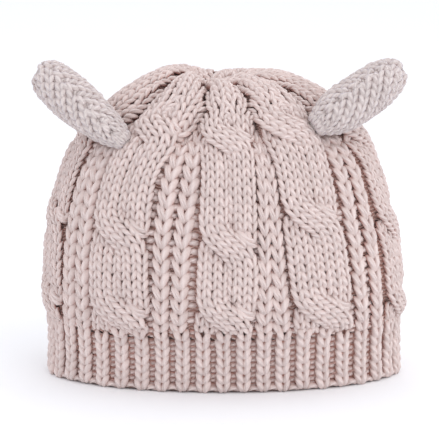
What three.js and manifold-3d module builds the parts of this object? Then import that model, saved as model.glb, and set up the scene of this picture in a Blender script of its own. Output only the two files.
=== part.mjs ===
// A child's cable-knit hat with two padded ears, standing on its ribbed band.
// Sizes are in millimetres and +Z is up. The origin lies on the surface that the band stands on,
// in the middle of the hat. The front faces -Y, so the left ear of the picture points to -X.
//
// The crown is one knitted wall with nine cables, a pair of ribs between each two, and deep creases
// where it is drawn together at the top. The band below it is knitted in narrow ribs.

import * as THREE from "three";
import { mergeVertices } from "three/addons/utils/BufferGeometryUtils.js";
import Module from "manifold-3d";

// Overall sizes of the hat, measured over the crests of the knitting
const HAT_HALF_WIDTH = 92;
const HAT_HALF_DEPTH = 60;
const HAT_HEIGHT = 155.8;
const BAND_HEIGHT = 28.5;

// The knitted wall
const WALL = 3;
const CABLE_RELIEF = 4.2;
const RIB_RELIEF = 2.6;
const BAND_RIB_RELIEF = 2.2;
const HEM_ROUNDING = 1;
const CREASE_DEPTH = 9;
const SEAM_GAP = 0.3;

// Levels are shares of the length of the crown's wall, from the band to the gathered point. The
// relief starts at START_SWELL of its height, and FADE_END of it is left at the gathered point.
const START_SWELL = 0.85;
const START_LEVEL = 0.04;
const CREASE_START = 0.4;
const CREASE_FULL = 0.66;
const CREASE_END = 0.92;
const SWAY_END = 0.8;
const PULL_START = 0.38;
const PULL_FULL = 0.72;
const RIB_FADE = 0.6;
const FADE_END = 0.25;
const LINING_SHARE = 0.94;

// The pattern round the hat
const CABLE_COUNT = 9;
const CABLE_SHARE = 0.6;
const CROWN_CABLE_SHARE = 0.84;
const CROSSING_LENGTH = 30;

// The two strands of a cable. Places and widths are shares of the cable's half width. Where they
// cross, the one on top rises and the one below sinks by these shares of the relief.
const STRAND_OFFSET = 0.48;
const STRAND_HALF_WIDTH = 0.56;
const OVER_RISE = 0.25;
const UNDER_DROP = 0.5;

// The ears
const EAR_HALF_WIDTH = 11.5;
const EAR_HALF_DEPTH = 13;
const EAR_BEND = 2;

// Sections of the band: heights are shares of BAND_HEIGHT, the rest of the hat's half width and depth
const BAND_SECTIONS = [
  { rise: 0, width: 0.985, depth: 0.76 },
  { rise: 0.5, width: 0.975, depth: 0.81 },
  { rise: 1, width: 0.978, depth: 0.865 },
];

// Rows of the band's outside: how high each lies, and how far in from the crests its edges turn
const BAND_ROWS = [
  { z: 0, inset: HEM_ROUNDING },
  { z: HEM_ROUNDING, inset: HEM_ROUNDING / 3 },
  { z: 3 * HEM_ROUNDING, inset: 0 },
  { z: BAND_HEIGHT - 2 * HEM_ROUNDING, inset: 0 },
  { z: BAND_HEIGHT, inset: HEM_ROUNDING / 3 },
];

// Sections of the crown: rise is a share of the height above the band, lean a share of the half width.
// The last rows turn down into the point where the crown is gathered, a little left of the middle.
const CROWN_SECTIONS = [
  { rise: 0, width: 0.992, depth: 0.875, lean: 0 },
  { rise: 0.062, width: 1, depth: 0.95, lean: 0 },
  { rise: 0.17, width: 0.995, depth: 1, lean: -0.004 },
  { rise: 0.27, width: 0.985, depth: 1, lean: -0.01 },
  { rise: 0.36, width: 0.969, depth: 0.99, lean: -0.014 },
  { rise: 0.458, width: 0.939, depth: 0.965, lean: -0.018 },
  { rise: 0.557, width: 0.9, depth: 0.925, lean: -0.018 },
  { rise: 0.655, width: 0.852, depth: 0.87, lean: -0.018 },
  { rise: 0.739, width: 0.795, depth: 0.81, lean: -0.018 },
  { rise: 0.823, width: 0.7, depth: 0.725, lean: -0.012 },
  { rise: 0.892, width: 0.6, depth: 0.635, lean: -0.008 },
  { rise: 0.946, width: 0.486, depth: 0.53, lean: -0.014 },
  { rise: 0.983, width: 0.37, depth: 0.405, lean: -0.03 },
  { rise: 1, width: 0.25, depth: 0.275, lean: -0.05 },
  { rise: 0.992, width: 0.15, depth: 0.17, lean: -0.066 },
  { rise: 0.966, width: 0.08, depth: 0.095, lean: -0.078 },
  { rise: 0.936, width: 0.034, depth: 0.045, lean: -0.082 },
];

// One row for each cable, from the front middle round past +X. Shift, sway and pull are shares of the
// spacing between cables: shift is constant, sway is greatest half way up, and pull comes in near the
// top, where the gathering draws a cable aside. The three crossings are at levels of the wall.
const CABLES = [
  { shift: -0.01, sway: 0.09, pull: 0.03, crossings: [0.07, 0.256, 0.534] },
  { shift: -0.03, sway: -0.05, pull: -0.08, crossings: [0.077, 0.316, 0.564] },
  { shift: -0.01, sway: 0.01, pull: -0.04, crossings: [0.058, 0.276, 0.524] },
  { shift: 0, sway: 0.02, pull: 0, crossings: [0.068, 0.296, 0.554] },
  { shift: 0.01, sway: -0.02, pull: 0.02, crossings: [0.048, 0.276, 0.534] },
  { shift: 0, sway: 0.02, pull: -0.03, crossings: [0.077, 0.306, 0.564] },
  { shift: -0.01, sway: -0.01, pull: 0.02, crossings: [0.058, 0.286, 0.544] },
  { shift: 0, sway: 0.02, pull: 0.1, crossings: [0.068, 0.286, 0.534] },
  { shift: -0.01, sway: 0, pull: 0.31, crossings: [0.068, 0.276, 0.56] },
];

// Places across a cable, from -1 at its left edge to 1, and across the gap beside it, from 0 to 1
const CROWN_COLUMNS = { cable: [-1, -0.86, -0.6, -0.3, 0, 0.3, 0.6, 0.86, 1], gap: [0.17, 0.33, 0.5, 0.67, 0.83] };
const BAND_COLUMNS = {
  cable: [-1, -0.78, -0.55, -0.333, -0.11, 0.11, 0.333, 0.55, 0.78, 1],
  gap: [0.17, 0.33, 0.5, 0.67, 0.83],
};
const LINING_COLUMNS = { cable: [-1, -0.45, 0.45, 1], gap: [0.25, 0.5, 0.75] };
const CROWN_ROWS = 30;
const CROWN_LINING_ROWS = 10;

// Sections of the ears, from the sewn end to the tip: along is a share of the length, size of the
// half width and half depth. The left ear is squeezed near the crown, the right one is not.
const LEFT_EAR_SECTIONS = [
  { along: 0.03, size: 0.3 },
  { along: 0.08, size: 0.42 },
  { along: 0.125, size: 0.54 },
  { along: 0.24, size: 0.73 },
  { along: 0.363, size: 0.8 },
  { along: 0.477, size: 0.9 },
  { along: 0.6, size: 0.93 },
  { along: 0.743, size: 0.89 },
  { along: 0.848, size: 0.8 },
  { along: 0.924, size: 0.66 },
  { along: 0.976, size: 0.4 },
];
const RIGHT_EAR_SECTIONS = [
  { along: 0.03, size: 0.34 },
  { along: 0.08, size: 0.48 },
  { along: 0.128, size: 0.64 },
  { along: 0.242, size: 0.88 },
  { along: 0.365, size: 0.99 },
  { along: 0.479, size: 1 },
  { along: 0.602, size: 0.98 },
  { along: 0.744, size: 0.9 },
  { along: 0.848, size: 0.75 },
  { along: 0.924, size: 0.57 },
  { along: 0.976, size: 0.34 },
];
const EAR_SIDES = 16;

// The ends of each ear's line: across is a share of the half width, front of the half depth and up
// of the height
const EARS = [
  {
    name: "ear_left",
    sections: LEFT_EAR_SECTIONS,
    seat: { across: -0.477, front: 0.591, up: 0.783 },
    tip: { across: -0.978, front: 0.37, up: 1.0215 },
  },
  {
    name: "ear_right",
    sections: RIGHT_EAR_SECTIONS,
    seat: { across: 0.439, front: 0.56, up: 0.834 },
    tip: { across: 0.944, front: 0.37, up: 1.033 },
  },
];

const KNIT = { color: 0xd8c4c1, roughness: 0.95, metalness: 0 };
const EAR_KNIT = { color: 0xdccfcf, roughness: 0.95, metalness: 0 };

const mix = THREE.MathUtils.lerp;
const smoothstep = THREE.MathUtils.smoothstep;

// The profile of each wall, as a curve through its sections: x is the half width, y the half depth
function profileCurve(sections, bottom, height) {
  const points = sections.map(
    (s) => new THREE.Vector3(s.width * HAT_HALF_WIDTH, s.depth * HAT_HALF_DEPTH, bottom + s.rise * height),
  );
  return new THREE.CatmullRomCurve3(points, false, "catmullrom", 0.5);
}
const bandProfile = profileCurve(BAND_SECTIONS, 0, BAND_HEIGHT);
const crownProfile = profileCurve(CROWN_SECTIONS, BAND_HEIGHT, HAT_HEIGHT - BAND_HEIGHT);
const leanCurve = new THREE.CatmullRomCurve3(
  CROWN_SECTIONS.map((s) => new THREE.Vector3(s.lean * HAT_HALF_WIDTH, 0, BAND_HEIGHT + s.rise)),
  false,
  "catmullrom",
  0.5,
);

// Equal steps of turn are about equal steps of length round the oval, because of this correction
const SQUEEZE = (HAT_HALF_WIDTH - HAT_HALF_DEPTH) / (2 * (HAT_HALF_WIDTH + HAT_HALF_DEPTH));
function bearingOf(turn) {
  return 2 * Math.PI * turn - SQUEEZE * Math.sin(4 * Math.PI * turn);
}

// A point on the smooth surface that touches the crests
function bandPoint(turn, level) {
  const section = bandProfile.getPointAt(level);
  const bearing = bearingOf(turn);
  return new THREE.Vector3(section.x * Math.sin(bearing), -section.y * Math.cos(bearing), section.z);
}
function crownPoint(turn, level) {
  const t = crownProfile.getUtoTmapping(level);
  const section = crownProfile.getPoint(t);
  const bearing = bearingOf(turn);
  const lean = leanCurve.getPoint(t).x;
  return new THREE.Vector3(lean + section.x * Math.sin(bearing), -section.y * Math.cos(bearing), section.z);
}

// The same point moved into the wall by inset, along the surface's normal
const NORMAL_STEP = 0.002;
function insetPoint(surface, turn, level, inset) {
  const low = Math.max(level - NORMAL_STEP, 0);
  const high = Math.min(level + NORMAL_STEP, 1);
  const round = surface(turn + NORMAL_STEP, level).sub(surface(turn - NORMAL_STEP, level));
  const up = surface(turn, high).sub(surface(turn, low));
  const normal = round.cross(up).normalize();
  return surface(turn, level).addScaledVector(normal, -inset);
}

// How far round the hat a place in the pattern lies
function cableHalfShare(level) {
  return mix(CABLE_SHARE, CROWN_CABLE_SHARE, smoothstep(level, CREASE_START, CREASE_END)) / 2;
}
function turnInCable(cable, across, level) {
  const { shift, sway, pull } = CABLES[(cable + CABLE_COUNT) % CABLES.length];
  const swaying = sway * Math.sin(Math.PI * Math.min(level / SWAY_END, 1));
  const drift = shift + swaying + pull * smoothstep(level, PULL_START, PULL_FULL);
  return (cable + drift + across * cableHalfShare(level)) / CABLE_COUNT;
}
function turnInGap(cable, across, level) {
  return mix(turnInCable(cable, 1, level), turnInCable(cable + 1, -1, level), across);
}

// How high a cable stands above the ground between the ribs. Its two strands change sides at each
// crossing, and the one that comes from the right on the way up passes in front.
const crownLength = crownProfile.getLength();
function cableRelief(cable, across, level) {
  const half = CROSSING_LENGTH / crownLength / 2;
  const { crossings } = CABLES[cable % CABLES.length];
  const phase = crossings.reduce((sum, at) => sum + smoothstep(level, at - half, at + half), 0);
  const side = STRAND_OFFSET * Math.cos(Math.PI * phase);
  const over = Math.sin(Math.PI * phase);
  const rise = (sign) => (sign > 0 ? 1 + OVER_RISE * sign : 1 + UNDER_DROP * sign);
  const strand = (centre, height) =>
    height * Math.sqrt(Math.max(0, 1 - ((across - centre) / STRAND_HALF_WIDTH) ** 2));
  const swell = mix(START_SWELL, 1, smoothstep(level, 0, START_LEVEL));
  return CABLE_RELIEF * swell * Math.max(strand(side, rise(over)), strand(-side, rise(-over)));
}
function ribRelief(across, ribs, height) {
  return height * Math.sin(Math.PI * ribs * across) ** 2;
}

// The creases between the cables, which deepen towards the top and close at the gathered point
function creaseDepth(across, level) {
  const reach = smoothstep(level, CREASE_START, CREASE_FULL) * (1 - smoothstep(level, CREASE_END, 1));
  return CREASE_DEPTH * reach * Math.sin(Math.PI * across);
}

// One closed ring of points at a level: places says how finely, and point makes each one
function ring(places, level, point) {
  const points = [];
  for (let cable = 0; cable < CABLE_COUNT; cable++) {
    for (const across of places.cable) {
      points.push(point({ cable, across, inCable: true, turn: turnInCable(cable, across, level) }));
    }
    for (const across of places.gap) {
      points.push(point({ cable, across, inCable: false, turn: turnInGap(cable, across, level) }));
    }
  }
  return points;
}

// Joins each ring to the next one. Neighbouring rings may have different numbers of points.
function skin(rings) {
  const vertices = rings.flat();
  const faces = [];
  let start = 0;
  for (let r = 0; r + 1 < rings.length; r++) {
    const [n, m] = [rings[r].length, rings[r + 1].length];
    const next = start + n;
    let [i, j] = [n === 1 ? 1 : 0, m === 1 ? 1 : 0];
    while (i < n || j < m) {
      const a = start + (i % n);
      const b = next + (j % m);
      if (j >= m || (i < n && (i + 1) * m <= (j + 1) * n)) {
        faces.push(a, start + ((i + 1) % n), b);
        i++;
      } else {
        faces.push(a, next + ((j + 1) % m), b);
        j++;
      }
    }
    start = next;
  }
  const geometry = new THREE.BufferGeometry().setFromPoints(vertices);
  geometry.setIndex(faces);
  return mergeVertices(geometry, 1e-4);
}

// The outside of the crown, and the same surface moved out by a clearance for the ears' seats
function crownInset({ cable, across, inCable }, level) {
  if (inCable) return CABLE_RELIEF - cableRelief(cable, across, level);
  const fade = 1 - RIB_FADE * smoothstep(level, CREASE_START, CREASE_END);
  return CABLE_RELIEF - ribRelief(across, 2, RIB_RELIEF * fade) + creaseDepth(across, level);
}
function crownOutside(clearance) {
  return Array.from({ length: CROWN_ROWS + 1 }, (_, row) => {
    const level = row / CROWN_ROWS;
    const fade = mix(1, FADE_END, smoothstep(level, CREASE_END, 1));
    const points = ring(CROWN_COLUMNS, level, (place) =>
      insetPoint(crownPoint, place.turn, level, crownInset(place, level) * fade - clearance),
    );
    return row === 0 ? points.map((p) => p.setZ(BAND_HEIGHT + SEAM_GAP - clearance)) : points;
  });
}
function middleOf(points) {
  return points.reduce((sum, p) => sum.add(p), new THREE.Vector3()).divideScalar(points.length);
}

// The crown: lining from the top down, the edge over the band, then the outside up to the gather
function crownGeometry() {
  const lining = Array.from({ length: CROWN_LINING_ROWS + 1 }, (_, row) => {
    const level = LINING_SHARE * (1 - row / CROWN_LINING_ROWS);
    const points = ring(LINING_COLUMNS, level, ({ across, inCable, turn }) => {
      const crease = inCable ? 0 : creaseDepth(across, level);
      return insetPoint(crownPoint, turn, level, CABLE_RELIEF + WALL + crease);
    });
    return level === 0 ? points.map((p) => p.setZ(BAND_HEIGHT + SEAM_GAP)) : points;
  });
  const outside = crownOutside(0);
  return skin([[middleOf(lining[0])], ...lining, ...outside, [middleOf(outside.at(-1))]]);
}

// The band: a closed loop of rings, up the ribbed outside, over the top and down the lining
function bandGeometry() {
  const outside = BAND_ROWS.map(({ z, inset }) =>
    ring(BAND_COLUMNS, 0, ({ across, inCable, turn }) => {
      const relief = inCable
        ? ribRelief((across + 1) / 2, 3, BAND_RIB_RELIEF)
        : ribRelief(across, 2, BAND_RIB_RELIEF);
      return insetPoint(bandPoint, turn, z / BAND_HEIGHT, BAND_RIB_RELIEF - relief + inset).setZ(z);
    }),
  );
  const lining = [1, 0].map((level) =>
    ring(LINING_COLUMNS, 0, ({ turn }) =>
      insetPoint(bandPoint, turn, level, BAND_RIB_RELIEF + WALL).setZ(level * BAND_HEIGHT),
    ),
  );
  return skin([...outside, ...lining, outside[0]]);
}

// An ear: a padded lobe along a slightly bent line that starts beside the crown's wall
function earGeometry({ sections, seat, tip }) {
  const place = ({ across, front, up }) =>
    new THREE.Vector3(across * HAT_HALF_WIDTH, -front * HAT_HALF_DEPTH, up * HAT_HEIGHT);
  const [start, end] = [place(seat), place(tip)];
  const middle = start.clone().lerp(end, 0.5).add(new THREE.Vector3(0, 0, -EAR_BEND));
  const line = new THREE.QuadraticBezierCurve3(start, middle, end);
  const rings = sections.map(({ along, size }) => {
    const tangent = line.getTangentAt(along);
    const depthAxis = new THREE.Vector3(0, 1, 0).projectOnPlane(tangent).normalize();
    const widthAxis = tangent.clone().cross(depthAxis);
    return Array.from({ length: EAR_SIDES }, (_, k) => {
      const angle = (2 * Math.PI * k) / EAR_SIDES;
      return line
        .getPointAt(along)
        .addScaledVector(widthAxis, size * EAR_HALF_WIDTH * Math.cos(angle))
        .addScaledVector(depthAxis, -size * EAR_HALF_DEPTH * Math.sin(angle));
    });
  });
  return skin([[start], ...rings, [end]]);
}

const wasm = await Module();
wasm.setup();

function solidOf(geometry) {
  const vertProperties = new Float32Array(geometry.attributes.position.array);
  const triVerts = new Uint32Array(geometry.index.array);
  return new wasm.Manifold(new wasm.Mesh({ numProp: 3, vertProperties, triVerts }));
}
function geometryOf(solid) {
  const mesh = solid.getMesh();
  const geometry = new THREE.BufferGeometry();
  geometry.setAttribute("position", new THREE.BufferAttribute(mesh.vertProperties, 3));
  geometry.setIndex(new THREE.BufferAttribute(mesh.triVerts, 1));
  return geometry;
}

// The ears are cut to follow the crown's surface, a seam gap clear of it
const crownRings = crownOutside(SEAM_GAP);
const crownMould = solidOf(skin([[middleOf(crownRings[0])], ...crownRings, [middleOf(crownRings.at(-1))]]));

const hat = new THREE.Group();
function add(name, geometry, finish) {
  const mesh = new THREE.Mesh(geometry, new THREE.MeshStandardMaterial(finish));
  mesh.name = name;
  hat.add(mesh);
}
add("crown", crownGeometry(), KNIT);
add("ribbed_band", bandGeometry(), KNIT);
for (const ear of EARS) {
  add(ear.name, geometryOf(solidOf(earGeometry(ear)).subtract(crownMould)), EAR_KNIT);
}

export default hat;
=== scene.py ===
"""A chunky cable-knit baby hat with two padded ears, standing on its ribbed band.

The hat is knitted stitch by stitch: one short length of yarn is modelled once for each piece, and
its copies are laid along the wales, the columns of stitches, on the hat's own form. The frame is
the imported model, so every piece lies where its CAD solid does.
"""

import math

import bpy
import numpy as np
from bpy.props import FloatProperty, FloatVectorProperty, PointerProperty
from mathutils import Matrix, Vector


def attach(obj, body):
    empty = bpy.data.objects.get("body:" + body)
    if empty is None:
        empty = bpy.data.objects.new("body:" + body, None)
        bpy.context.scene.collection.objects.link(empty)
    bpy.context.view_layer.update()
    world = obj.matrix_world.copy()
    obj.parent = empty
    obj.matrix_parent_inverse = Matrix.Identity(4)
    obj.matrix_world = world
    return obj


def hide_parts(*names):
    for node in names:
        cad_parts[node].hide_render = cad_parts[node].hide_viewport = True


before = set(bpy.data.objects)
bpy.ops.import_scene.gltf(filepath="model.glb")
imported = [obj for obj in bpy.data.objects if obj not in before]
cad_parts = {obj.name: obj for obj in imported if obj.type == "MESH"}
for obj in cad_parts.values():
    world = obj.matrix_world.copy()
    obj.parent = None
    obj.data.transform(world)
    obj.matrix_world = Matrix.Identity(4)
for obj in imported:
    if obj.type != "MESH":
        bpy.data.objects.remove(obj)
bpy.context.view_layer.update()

bl_info = {
    "name": "Knitted Baby Hat",
    "version": (1, 0, 0),
    "blender": (4, 5, 0),
    "location": "View3D > Sidebar > Hat",
    "description": "Knits a cable hat with two padded ears, stitch by stitch, over its CAD solids",
    "category": "Add Mesh",
}

MM = 0.001
TURN = 2 * math.pi

# Sections of the hat, as in the part's source: heights are shares of the band, or of the crown
# above it, and then the shares of the hat's half width and half depth, and how far it leans
BAND_SECTIONS = ((0, 0.985, 0.76, 0), (0.5, 0.975, 0.81, 0), (1, 0.978, 0.865, 0))
CROWN_SECTIONS = (
    (0, 0.992, 0.875, 0),
    (0.062, 1, 0.95, 0),
    (0.17, 0.995, 1, -0.004),
    (0.27, 0.985, 1, -0.01),
    (0.36, 0.969, 0.99, -0.014),
    (0.458, 0.939, 0.965, -0.018),
    (0.557, 0.9, 0.925, -0.018),
    (0.655, 0.852, 0.87, -0.018),
    (0.739, 0.795, 0.81, -0.018),
    (0.823, 0.7, 0.725, -0.012),
    (0.892, 0.6, 0.635, -0.008),
    (0.946, 0.486, 0.53, -0.014),
    (0.983, 0.37, 0.405, -0.03),
    (1, 0.25, 0.275, -0.05),
    (0.992, 0.15, 0.17, -0.066),
    (0.966, 0.08, 0.095, -0.078),
    (0.936, 0.034, 0.045, -0.082),
)

# One row for each cable, from the front middle round past +X: its shift, sway and pull as shares of
# the spacing between cables, and the levels of its three crossings
CABLES = (
    (-0.01, 0.09, 0.03, (0.07, 0.256, 0.534)),
    (-0.03, -0.05, -0.08, (0.077, 0.316, 0.564)),
    (-0.01, 0.01, -0.04, (0.058, 0.276, 0.524)),
    (0, 0.02, 0, (0.068, 0.296, 0.554)),
    (0.01, -0.02, 0.02, (0.048, 0.276, 0.534)),
    (0, 0.02, -0.03, (0.077, 0.306, 0.564)),
    (-0.01, -0.01, 0.02, (0.058, 0.286, 0.544)),
    (0, 0.02, 0.1, (0.068, 0.286, 0.534)),
    (-0.01, 0, 0.31, (0.068, 0.276, 0.56)),
)
CABLE_COUNT = len(CABLES)

# Levels are shares of the length of the crown's wall, from the band to the gathered point
CABLE_SHARE, CROWN_CABLE_SHARE = 0.6, 0.84
START_SWELL, START_LEVEL = 0.62, 0.05
CREASE_START, CREASE_FULL, CREASE_END = 0.4, 0.66, 0.92
SWAY_END, PULL_START, PULL_FULL = 0.8, 0.38, 0.72
RIB_FADE, FADE_END, LINING_TOP = 0.6, 0.25, 0.94
STRAND_OFFSET, STRAND_HALF_WIDTH = 0.48, 0.56

# Where the drawn-together stitches pull the top of the crown down: up the wall, and then across the
# hat in millimetres, where the dip starts, where it eases to the share DIP_EASED, and where it ends
DIP_LEVELS, DIP_STARTS, DIP_EASES, DIP_ENDS = (0.72, 0.93), (-19, -9), (3, 14), (20, 36)
# The share DIP_AT_GATHER of the dip is left at the gathered point itself, above GATHER_START
DIP_EASED, DIP_AT_GATHER, GATHER_START = 0.55, 0.4, 0.88

# How far a strand rises where it crosses over and drops where it crosses under, in reliefs
OVER_RISE, UNDER_DROP = 0.25, 0.5

# The two ribs of each gap, from the front round past +X: how far across the gap each lies at its
# foot and at its head, and the level where it runs out into the crease
GAP_RIBS = (
    ((0.22, 0.3, 0.86), (0.68, 0.7, 0.6)),
    ((0.24, 0.3, 0.66), (0.7, 0.7, 0.7)),
    ((0.25, 0.3, 0.68), (0.75, 0.7, 0.64)),
    ((0.25, 0.3, 0.66), (0.75, 0.7, 0.7)),
    ((0.25, 0.3, 0.68), (0.75, 0.7, 0.66)),
    ((0.25, 0.3, 0.7), (0.75, 0.7, 0.64)),
    ((0.25, 0.3, 0.66), (0.75, 0.7, 0.68)),
    ((0.27, 0.3, 0.68), (0.74, 0.7, 0.62)),
    ((0.24, 0.3, 0.64), (0.65, 0.76, 0.66)),
)

# The ears: sections from the sewn end to the tip as shares of the length and of the half sizes, the
# ends of each ear's line, and how far the line of decreases lies above the front, in degrees, at
# the sewn end and at the tip
LEFT_EAR = {
    "name": "ear_left",
    "sections": (
        (0, 0.1), (0.03, 0.3), (0.08, 0.42), (0.125, 0.54), (0.24, 0.73), (0.363, 0.82), (0.477, 0.92),
        (0.6, 0.96), (0.743, 0.94), (0.848, 0.86), (0.924, 0.72), (0.976, 0.44), (1, 0),
    ),
    "seat": (-0.489, 0.591, 0.775),
    "tip": (-0.991, 0.37, 1.013),
    "decreases": (-5, 45),
    "upward": 1,
}
RIGHT_EAR = {
    "name": "ear_right",
    "sections": (
        (0, 0.1), (0.03, 0.34), (0.081, 0.48), (0.128, 0.64), (0.242, 0.88), (0.365, 0.99), (0.479, 1),
        (0.602, 0.99), (0.744, 0.95), (0.848, 0.82), (0.924, 0.65), (0.976, 0.4), (1, 0),
    ),
    "seat": (0.443, 0.56, 0.826),
    "tip": (0.95, 0.37, 1.016),
    "decreases": (30, 50),
    "upward": -1,
}

# One length of yarn is a line of six points: how far along its wale in rows, how far from the
# wale's middle as a share of its width, how high in yarn radii, and how thick. A plain stitch has
# two legs, which are squeezed where they come out of the stitch below and go under the next.
LEG = (
    (-0.42, -0.12, 0.2, 0.52, 0.84, 1.14),
    (0.13, 0.16, 0.22, 0.31, 0.38, 0.42),
    (-1.0, -0.1, 0.25, 0.2, -0.15, -1.0),
    (0.55, 0.8, 1, 1, 0.92, 0.6),
)
RIB_LEG = (
    (-0.42, -0.14, 0.16, 0.46, 0.78, 1.08),
    (0.05, 0.08, 0.15, 0.25, 0.34, 0.38),
    (-0.9, -0.1, 0.15, 0.1, -0.15, -1.1),
    (0.5, 0.75, 1, 1.02, 0.95, 0.6),
)
BAND_LEG = (
    (-0.45, -0.15, 0.18, 0.5, 0.82, 1.12),
    (0.1, 0.13, 0.2, 0.28, 0.34, 0.37),
    (-0.85, -0.05, 0.2, 0.15, -0.15, -1.0),
    (0.55, 0.85, 1, 1, 0.95, 0.6),
)
BUMP = (
    (0, 0.1, 0.15, 0.15, 0.1, 0),
    (-0.5, -0.32, -0.1, 0.1, 0.32, 0.5),
    (-1.2, -0.2, 0.15, 0.15, -0.2, -1.2),
    (0.6, 0.9, 1, 1, 0.9, 0.6),
)
CAST_ON = (
    (-0.3, 0.02, 0.25, 0.25, 0.02, -0.3),
    (-0.42, -0.28, -0.1, 0.1, 0.28, 0.42),
    (-1.4, -0.3, 0.15, 0.15, -0.3, -1.4),
    (0.6, 0.9, 1, 1, 0.9, 0.6),
)
# The last stitches of a strand are stretched into a hook where it comes out from behind the other
HOOK = (
    (1.5, 0.98, 0.47, 0.07, -0.14, -0.18),
    (-0.5, -0.3, -0.1, 0.1, 0.3, 0.5),
    (-1.0, 0.0, 0.3, 0.3, 0.1, -0.9),
    (0.6, 0.95, 1.05, 1.05, 0.95, 0.6),
)
# Where a hook lies in the right half of its cable and how wide it is, as shares of that half, how
# deep it lies in reliefs, and how many levels of the wale are worked out on either side
HOOK_PLACE, HOOK_SHARE, HOOK_DROP, HOOK_REACH = 0.57, 0.75, 0.2, 0.08
LEG_POINTS = len(LEG[0])


def mix(a, b, share):
    return a + (b - a) * share


def smoothstep(x, low, high):
    t = np.clip((np.asarray(x, float) - low) / (high - low), 0, 1)
    return t * t * (3 - 2 * t)


def rounded_curve(points, shares):
    """Points of the uniform Catmull-Rom curve that the solids follow, too."""
    points = np.asarray(points, float)
    padded = np.vstack([2 * points[0] - points[1], points, 2 * points[-1] - points[-2]])
    place = np.clip(shares, 0, 1) * (len(points) - 1)
    first = np.minimum(place.astype(int), len(points) - 2)
    t = (place - first)[:, None]
    p0, p1, p2, p3 = (padded[first + k] for k in range(4))
    v0, v1 = (p2 - p0) / 2, (p3 - p1) / 2
    return (2 * (p1 - p2) + v0 + v1) * t**3 + (3 * (p2 - p1) - 2 * v0 - v1) * t**2 + v0 * t + p1


def dip_across(aside):
    """The share of the dip at a place across the hat."""
    eased = mix(1, DIP_EASED, smoothstep(aside, *DIP_EASES))
    return smoothstep(aside, *DIP_STARTS) * eased * (1 - smoothstep(aside, *DIP_ENDS))


class Wall:
    """A smooth closed wall that touches the crests of the knitting: the band's or the crown's."""

    STEPS, BELOW = 800, 0.05
    LEVELS = np.concatenate([[-BELOW], np.linspace(0, 1, STEPS + 1)])

    def __init__(self, sections, sizes, bottom, height, dip=0):
        self.dip = dip
        self.half_width = sizes.half_width / MM
        self.half_depth = sizes.half_depth / MM
        self.squeeze = (self.half_width - self.half_depth) / (2 * (self.half_width + self.half_depth))
        rows = np.array(sections, float)
        points = np.column_stack([
            rows[:, 1] * self.half_width,
            rows[:, 2] * self.half_depth,
            bottom + rows[:, 0] * height,
            rows[:, 3] * self.half_width,
        ])
        coarse = rounded_curve(points, np.linspace(0, 1, 201))
        steps = np.linalg.norm(np.diff(coarse[:, :3], axis=0), axis=1)
        along = np.concatenate([[0], np.cumsum(steps)])
        self.length = along[-1]
        shares = np.interp(self.LEVELS[1:] * self.length, along, np.linspace(0, 1, 201))
        table = rounded_curve(points, shares)
        # Below its foot the wall runs straight on
        slope = (table[8] - table[0]) / self.LEVELS[9]
        self.table = np.vstack([table[0] - slope * self.BELOW, table])

    def __call__(self, turn, level):
        wide, deep, high, lean = (np.interp(level, self.LEVELS, column) for column in self.table.T)
        bearing = TURN * turn - self.squeeze * np.sin(2 * TURN * turn)
        aside = lean + wide * np.sin(bearing)
        dip = self.dip * smoothstep(level, *DIP_LEVELS) * dip_across(aside)
        dip = dip * mix(1, DIP_AT_GATHER, smoothstep(level, GATHER_START, 1))
        return np.stack([aside, -deep * np.cos(bearing), high - dip], -1)


class Ear:
    """The skin of an ear: turn is measured round it as a share of the full turn, level along it."""

    def __init__(self, ear, sizes):
        scale = np.array([sizes.half_width, -sizes.half_depth, sizes.height]) / MM
        self.start, self.end = np.array(ear["seat"]) * scale, np.array(ear["tip"]) * scale
        self.half_width, self.half_depth = sizes.ear_half_width / MM, sizes.ear_half_depth / MM
        rows = np.array(ear["sections"], float)
        self.along = np.linspace(0, 1, 401)
        # The sections' corners are rounded off, and both ends with them
        self.size = np.interp(self.along, rows[:, 0], rows[:, 1])
        kernel = np.hanning(31)
        padded = np.concatenate([-self.size[15:0:-1], self.size, -self.size[-2:-17:-1]])
        self.size = np.convolve(padded, kernel / kernel.sum(), "valid")
        self.middle = (self.start + self.end) / 2 + np.array([0, 0, -sizes.ear_bend / MM])
        tangent = (self.end - self.start) / np.linalg.norm(self.end - self.start)
        back = np.array([0, 1.0, 0])
        self.deep = back - tangent * (tangent @ back)
        self.deep /= np.linalg.norm(self.deep)
        self.wide = np.cross(tangent, self.deep)

    def __call__(self, turn, level):
        level = np.clip(level, 0, 1)
        t = level[..., None]
        line = (1 - t) ** 2 * self.start + 2 * t * (1 - t) * self.middle + t**2 * self.end
        size = np.interp(level, self.along, self.size)[..., None]
        angle = (TURN * turn)[..., None]
        across = self.wide * (self.half_width * np.cos(angle))
        return line + size * (across - self.deep * (self.half_depth * np.sin(angle)))


def normals_on(surface, turn, level, step=0.002):
    """Unit normals that point out of the surface."""
    around = surface(turn + step, level) - surface(turn - step, level)
    up = surface(turn, level + step) - surface(turn, level - step)
    normal = np.cross(around, up)
    return normal / np.maximum(np.linalg.norm(normal, axis=-1, keepdims=True), 1e-9)


def inset_points(surface, turn, level, inset):
    normal = normals_on(surface, turn, level)
    return surface(turn, level) - np.asarray(inset)[..., None] * normal, normal


def cable_half_share(level):
    """Half a cable's width as a share of the spacing between cables."""
    return mix(CABLE_SHARE, CROWN_CABLE_SHARE, smoothstep(level, CREASE_START, CREASE_END)) / 2


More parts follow.
